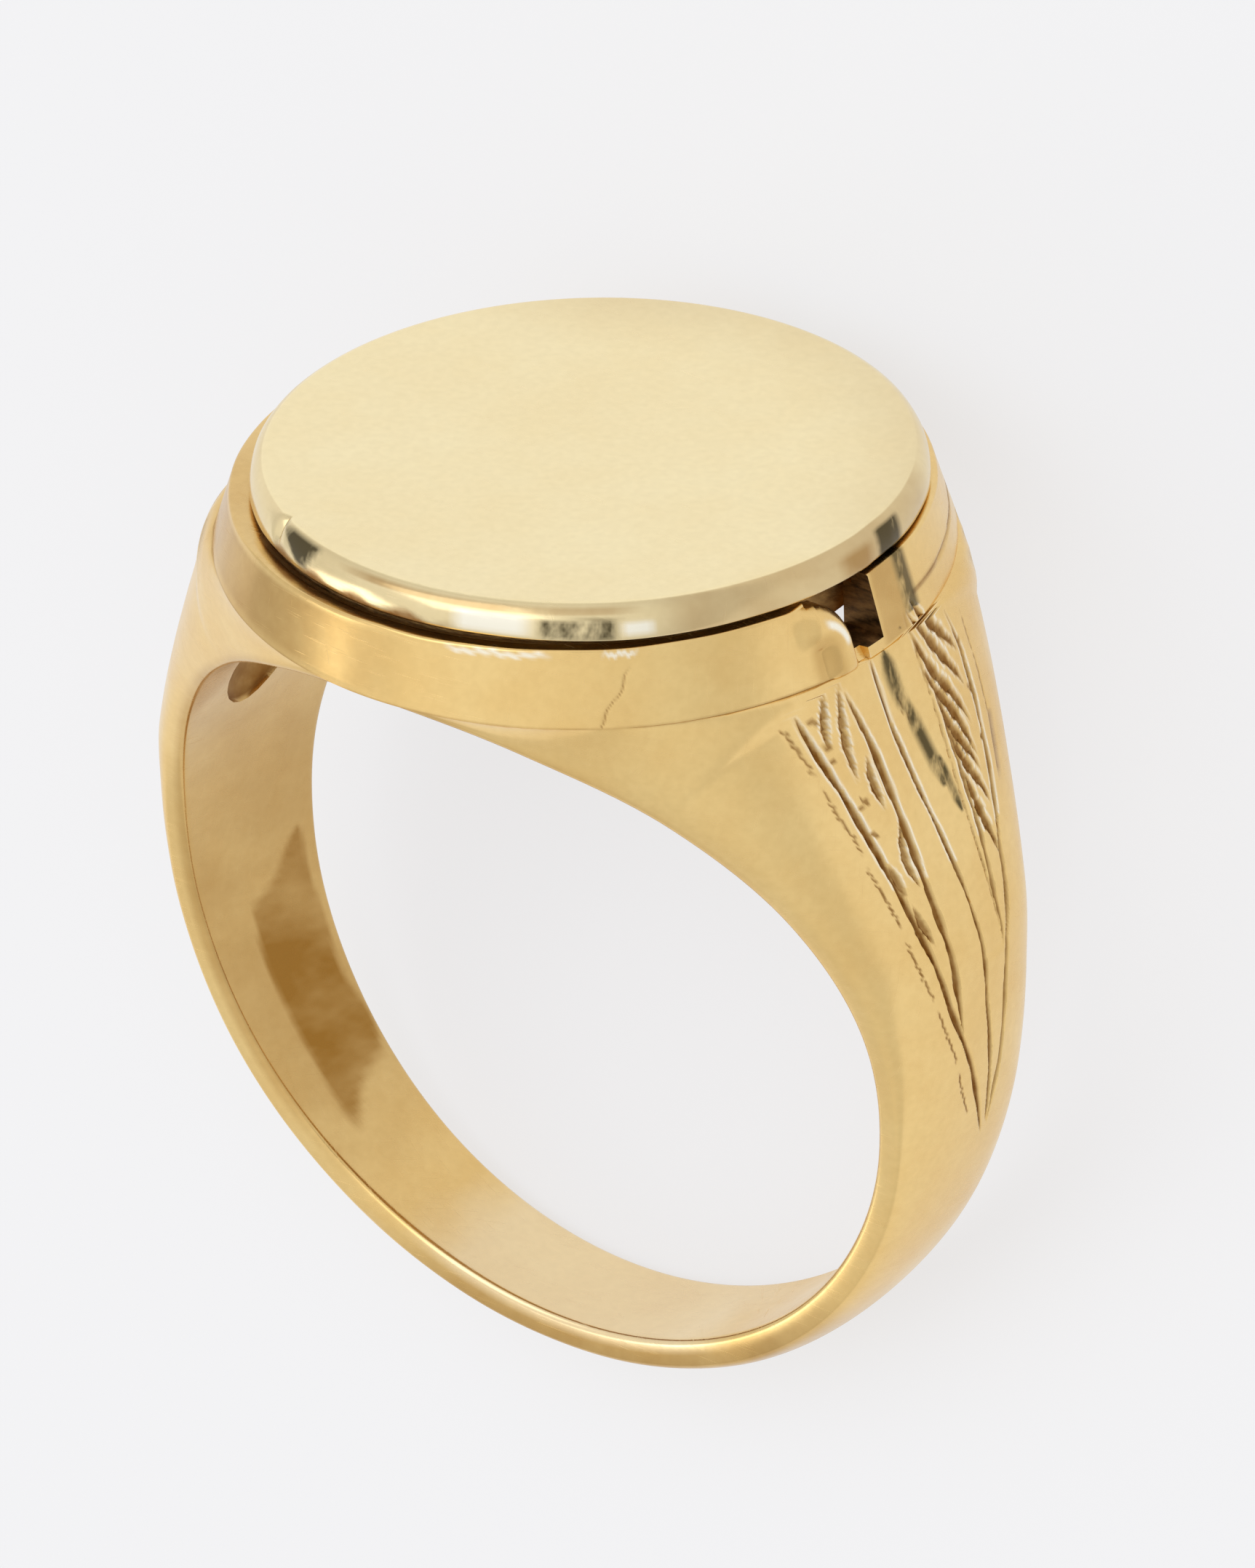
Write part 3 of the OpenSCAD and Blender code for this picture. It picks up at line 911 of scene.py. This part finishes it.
def rough_metal(name, dark, light):
    """Cut or tarnished metal that was never polished."""
    material = bpy.data.materials.new(name)
    n = Nodes(material)
    shader = n["Principled BSDF"]
    patch = n.span(n.noise(2400, 5.0, 0.65, (0.4, 0.2, 0.9), (1, 3, 1)), 0.3, 0.7)
    n.link(n.mix(patch, dark, light), shader.inputs["Base Color"])
    shader.inputs["Metallic"].default_value = 1.0
    n.link(n.span(patch, 0, 1, 0.42, 0.62), shader.inputs["Roughness"])
    file_marks = n.noise(3000, 5.0, 0.7, (0.4, 0.2, 0.9), (1, 4, 1))
    n.link(n.bump(file_marks, 0.00003, 0.8), shader.inputs["Normal"])
    return material


shank_gold = gold("shank_gold", (0.91, 0.66, 0.285), (0.8, 0.52, 0.185), 0.2)
lid_gold = gold("lid_gold", (1.0, 0.86, 0.52), (0.97, 0.8, 0.45), 0.16, scratch=0.2)
cut_gold = rough_metal("cut_gold", (0.05, 0.028, 0.012), (0.36, 0.2, 0.075))
cup_gold = rough_metal("cup_gold", (0.46, 0.26, 0.09), (0.74, 0.48, 0.19))
pin_gold = gold("pin_gold", (0.78, 0.56, 0.28), (0.66, 0.44, 0.2), 0.35, tarnished_and_lit=False)


# Tarnish, wear, painted shade, painted highlights and painted dark reflections on the shank, painted on
# its points as shares from 0 to 1
class Places:
    """Where each point of the shank is, told in the ways that its wear, tarnish and painted light need.
    """

    def __init__(self, obj):
        self.p = coordinates(obj)
        self.x, self.u, self.z = self.p.T
        self.bore_r = np.hypot(self.x, self.u)
        self.head_r = np.hypot(self.x, self.z)
        # Above the shoulder line, round the finger hole, and round the head
        self.angle = np.degrees(np.arctan2(self.u, np.abs(self.x)))
        self.turn = np.degrees(np.arctan2(self.u, self.x)) % 360
        self.phi = np.degrees(np.arctan2(self.z, self.x))
        self.below_rim = rim_height(self.x, self.z) - self.u
        self.nub_in = nub_depth(self.z, self.u)
        self.outside = self.bore_r > BORE_R + 0.6
        self.collar = self.head_r > COLLAR_MID_R
        self.ragged = 2.2 * ripple(self.p, 0.7, 5.0)


def tarnish(at, cuts):
    """Brown in the engraving, the seams, the cup's way, the crack and the scooped hollows."""
    out = at.head_r > 7.2
    seam = np.exp(-((at.u - SEAM_U) / 0.03) ** 2) * (np.abs(at.head_r - HEAD_R) < 0.06)
    back = (at.phi < -10) & (at.phi > -170)
    seam = seam * np.where(back | (np.abs(at.phi) < 12), 0.0, 0.42 + 0.2 * ripple(at.p, 0.9, 3.0))
    behind = (at.phi < -10) & (at.phi > -100)
    back_seam = np.exp(-((at.u - BACK_SEAM_U) / 0.05) ** 2) * out * behind
    ledge = within(at.phi, 85, 175, 20) * (at.head_r > 6.95) * share(1 - at.below_rim / 0.28)
    inner = (at.head_r < 7.02) & (at.u > SEAM_U - 1.2)
    crack = crack_at(at.phi, at.u) * out * (at.z > 0)
    scooped = (at.angle > 20) & (at.angle < 70) & (np.abs(at.z) < 2.6)
    scooped &= (at.bore_r > BORE_R + 0.03) & (at.bore_r < BORE_R + 0.85)
    cut = cuts * at.outside
    return most(cut, seam, 0.85 * back_seam, 0.16 * ledge, 0.9 * inner, 0.75 * crack, 0.85 * scooped)


def painted_dark_reflection(at):
    """Painted dark reflections as olive-dark strokes down the strip, and over the collar's flat above
    it.
    """
    on_flat = share(1.7 - np.abs(at.phi + 9.0) / 1.5) * at.collar * (at.u > SEAM_U + 0.3)
    on_strip = dark_reflection_strokes_at(at.angle, at.z) * (at.outside & (at.u < SEAM_U + 0.2))
    return most(on_strip, 0.9 * on_flat)


def painted_shade(at):
    """Painted shade and dark reflections: deeper colour inside the band, along its outer bottom, and on
    the collar.
    """
    # Painted shade inside the band, with a painted dark reflection as a brown patch on its left side.
    shaded_side = within(at.turn + at.ragged, 120, 238, 16) * 0.5
    patch = within(at.turn - 4 * at.z + at.ragged, 192, 229, 3)
    patch = patch * within(at.z + 0.1 * at.ragged, -1.7, 0.8, 0.3)
    far_side = within(at.turn, 20, 160, 20) * 0.35
    inside_band = share((BORE_R + 0.3 - at.bore_r) / 0.2) * most(shaded_side, patch, far_side)

    # Painted shade along the band's outer bottom, on the collar's front and on the bead, and a painted
    # dark reflection on the collar's flat.
    bottom = share((at.bore_r - BORE_R - 0.08) / 0.12) * share((at.z + 0.4) / 0.8)
    bottom = bottom * within(at.turn + at.ragged, 238, 325, 18) * 0.6
    front_wall = within(at.phi, 82, 168, 22) * within(at.u, SEAM_U - 0.1, SEAM_U + 1.6, 0.3)
    front_wall = front_wall * at.collar * share((at.below_rim - 0.08) / 0.1) * 0.6
    facet = within(at.phi, -8, 0.5, 1.5) * at.collar * (at.u > SEAM_U + 0.05) * 0.5
    bead = within(at.nub_in, 0.4, 1.2, 0.2) * within(at.z, 0.9, 2.1, 0.2)
    bead = bead * (at.u > SEAM_U) * at.collar * (at.x > 0) * 0.4
    return most(inside_band, bottom, front_wall, facet, bead)


def painted_highlight_places(at, lips):
    """Painted highlights on the lips of the cuts, along burrs on the collar's rim, and on the band and
    the bead.
    """
    lips = lips * at.outside * (at.head_r < 9.4)
    burr = most(within(at.phi, 59, 77, 2), within(at.phi, 44.5, 51, 1.5)) * (at.head_r > 7.2)
    jagged = 0.05 * np.sin(at.phi * 4.1) * np.sin(at.phi * 1.7 + 1)
    burr = burr * share(1.3 - np.abs(at.below_rim - 0.11 + jagged) / 0.06)
    floor = share((BORE_R + 0.3 - at.bore_r) / 0.2) * within(at.turn + at.ragged, 242, 300, 10) * 0.3
    edge = (at.bore_r > BORE_R + 0.35) * within(at.turn, 222, 242, 7) * within(at.z, 0.95, 1.5, 0.1)
    bead = within(at.nub_in, 0.2, 0.42, 0.07) * within(at.u, SLOT_U + 0.35, SLOT_U + 1.4, 0.15)
    bead = bead * (at.phi > 3) * (at.phi < 25) * at.collar * share((1.65 - at.z) / 0.15)
    return most(lips, 0.9 * burr, floor, 0.8 * edge, bead)


def cut_faces(obj):
    """The faces that the slot left bare."""
    x, u, z = of_faces(obj, "center").T
    normals = of_faces(obj, "normal")
    side = (x > 6.7) & (u > SLOT_U - 0.02) & (np.abs(normals[:, 2]) > 0.9)
    side &= (np.abs(z) < 0.01) | (np.abs(z - SLOT_W) < 0.01)
    floor = (x > 6.5) & (np.abs(u - SLOT_U) < 0.01) & (normals[:, 1] > 0.9)
    return side | floor


def paint_shank(obj):
    at = Places(obj)
    _, cuts, lips = engraving(at.angle, at.z)
    put(obj, "brown", tarnish(at, cuts))
    put(obj, "painted_dark_reflection", painted_dark_reflection(at))
    put(obj, "shade_and_stain", painted_shade(at))
    put(obj, "painted_highlight", painted_highlight_places(at, lips))


def paint_lid(obj):
    """Painted dark reflections, painted highlights and painted shade round the lid's edge, and a faint
    brown stain on its flat.
    """
    # Angle round the lid, distance from its middle, and 0 at the flat to 1 at the underside
    x, u, z = into_hinge(coordinates(obj)).T
    phi = np.degrees(np.arctan2(z + HINGE_Z, x - LID_OFF))
    out = np.hypot(z + HINGE_Z, x - LID_OFF)
    fall = share((LID_UNDER + LID_H - 0.01 - u) / LID_H) * (out > LID_FLAT_R - 0.04)
    edge = fall > 0.02

    # Painted dark reflections on the lid's edge: a dark V by the nick, dark streaks at the front and a
    # dark corner by the flat.
    from_vee = np.abs(phi - 113.5 + 3 * fall) - 6 * (1 - fall) ** 1.6 - 0.5
    vee = share(1 - from_vee / 1.2) * within(fall, 0.02, 0.85, 0.1)
    streaky = within(phi, 48.5, 62.5, 1.5) * within(fall, 0.36, 0.97, 0.08)
    corner = within(phi, -13, -3.5, 2) * within(fall, 0.12, 1.1, 0.1)
    put(obj, "painted_dark_reflection", most(vee, streaky, corner) * edge)

    under = within(phi, 76, 128, 6) * share((fall - 0.7 + 0.12 * np.sin(phi * 0.6)) / 0.2)
    put(obj, "brown", 0.9 * under * edge)

    # Painted shade and dark reflections round the lid's edge, and a faint brown stain on its flat.
    by_facet = within(phi, -4, 7, 3) * within(fall, 0.2, 1.1, 0.2)
    side_tone = 0.22 + 0.3 * within(phi, -30, 44, 8) + 0.3 * by_facet
    flat_line = within(phi, 40, 106, 12) * within(fall, 0.03, 0.3, 0.08) * 0.7
    darkening = 0.16 * share((out - 5.0) / 1.6) * within(phi, -150, 10, 25) * (1 - edge)
    put(obj, "shade_and_stain", most(side_tone * edge, flat_line * edge, darkening))

    # Painted highlights on the lid's edge beside the dark streaks.
    left = within(phi, 62.5, 78, 3) * within(fall, 0.3, 0.9, 0.1)
    right = within(phi, 42, 48.5, 1.5) * within(fall, 0.4, 0.9, 0.15)
    put(obj, "painted_highlight", most(left, right) * edge)


shank = make_shank()
lid = make_lid()

paint_shank(shank)
give(shank, shank_gold, cut_gold)
shank.data.polygons.foreach_set("material_index", cut_faces(shank).astype(np.int32))
finish_piece(shank, "ring", "shank")

paint_lid(lid)
give(lid, lid_gold)
finish_piece(lid, "lid", "lid")

give(frame["nodes"]["cup"], cup_gold)
give(frame["nodes"]["hinge_pin"], pin_gold)


# Floor, camera and light
def make_floor(reach=3.0):
    low = cad_box[0][2]
    corners = [(-reach, -reach, low), (reach, -reach, low), (reach, reach, low), (-reach, reach, low)]
    floor = mesh_object("floor", corners, [(0, 1, 2, 3)])
    paper = bpy.data.materials.new("paper")
    shader = Nodes(paper)["Principled BSDF"]
    shader.inputs["Base Color"].default_value = (0.22, 0.22, 0.225, 1)
    shader.inputs["Roughness"].default_value = 0.8
    shader.inputs["Emission Color"].default_value = (0.985, 0.985, 1.0, 1)
    shader.inputs["Emission Strength"].default_value = 0.665
    floor.data.materials.append(paper)
    return floor


make_floor()

# The photograph's angle to the ring, in the ring's own directions, in degrees
YAW, RISE, ROLL = 36.97, 31.0, -1.15
# What the camera looks at, in mm to the right of the finger hole's middle and above it in the picture
AIM_RIGHT, AIM_UP = 0.718, 3.014
DISTANCE = 1.0
LENS = 1089.0


def camera_directions():
    """Right, up and back of the camera, in the ring's own directions."""
    (cy, sy), (cr, sr), (cl, sl) = on_circle(YAW), on_circle(RISE), on_circle(ROLL)
    back = np.array([sy * cr, sr, cy * cr])
    level = np.cross([0, 1, 0], back)
    level /= np.linalg.norm(level)
    upright = np.cross(back, level)
    return cl * level + sl * upright, -sl * level + cl * upright, back


def make_camera(right, up, back):
    data = bpy.data.cameras.new("camera")
    data.lens = LENS
    data.clip_start = 0.01
    data.clip_end = 50
    camera = bpy.data.objects.new("camera", data)
    bpy.context.scene.collection.objects.link(camera)
    aim = as_it_lies(AIM_RIGHT * right + AIM_UP * up)[0]
    axes = [as_it_lies(v)[0] / MM for v in (right, up, back)]
    columns = axes + [aim + DISTANCE * axes[2]]
    camera.matrix_world = Matrix([[*row] for row in np.array(columns).T] + [[0, 0, 0, 1]])
    return camera


def area_light(name, at, size, power):
    """A soft box that faces the ring."""
    data = bpy.data.lights.new(name, "AREA")
    data.shape = "RECTANGLE"
    data.size, data.size_y = size
    data.energy = power
    obj = bpy.data.objects.new(name, data)
    bpy.context.scene.collection.objects.link(obj)
    obj.location = at
    obj.rotation_euler = (-Vector(at)).normalized().to_track_quat("-Z", "Y").to_euler()


def sky_patch(n, direction, inner, outer):
    """1 inside a round patch of the sky and 0 outside it, with a soft border, in degrees."""
    dot = n.add("ShaderNodeVectorMath", operation="DOT_PRODUCT")
    n.link(n.add("ShaderNodeTexCoord").outputs["Generated"], dot.inputs[0])
    dot.inputs[1].default_value = direction
    return n.span(dot.outputs["Value"], on_circle(outer)[0], on_circle(inner)[0])


def studio_sky(photographer):
    """A pale sky, brighter overhead, with the dim small patch where the photographer stood."""
    world = bpy.data.worlds.new("studio")
    n = Nodes(world)
    background = n["Background"]
    sky = n.mix(sky_patch(n, (0, 0, 1), 15, 75), (0.84, 0.84, 0.84), (1.05, 1.05, 1.05))
    sky = n.mix(sky_patch(n, photographer, 3, 7), sky, (0.2, 0.18, 0.14))
    n.link(sky, background.inputs["Color"])
    background.inputs["Strength"].default_value = 0.9
    return world


camera_right, camera_up, camera_back = camera_directions()
bpy.context.scene.camera = make_camera(camera_right, camera_up, camera_back)
area_light("softbox_top", (0.15, -0.25, 0.9), (0.7, 0.7), 1.2)
area_light("softbox_side", (0.75, 0.55, 0.5), (0.35, 0.6), 1.0)
bpy.context.scene.world = studio_sky(as_it_lies(camera_back)[0] / MM)
bpy.context.scene.view_settings.view_transform = "Standard"
bpy.context.scene.view_settings.exposure = 0.0
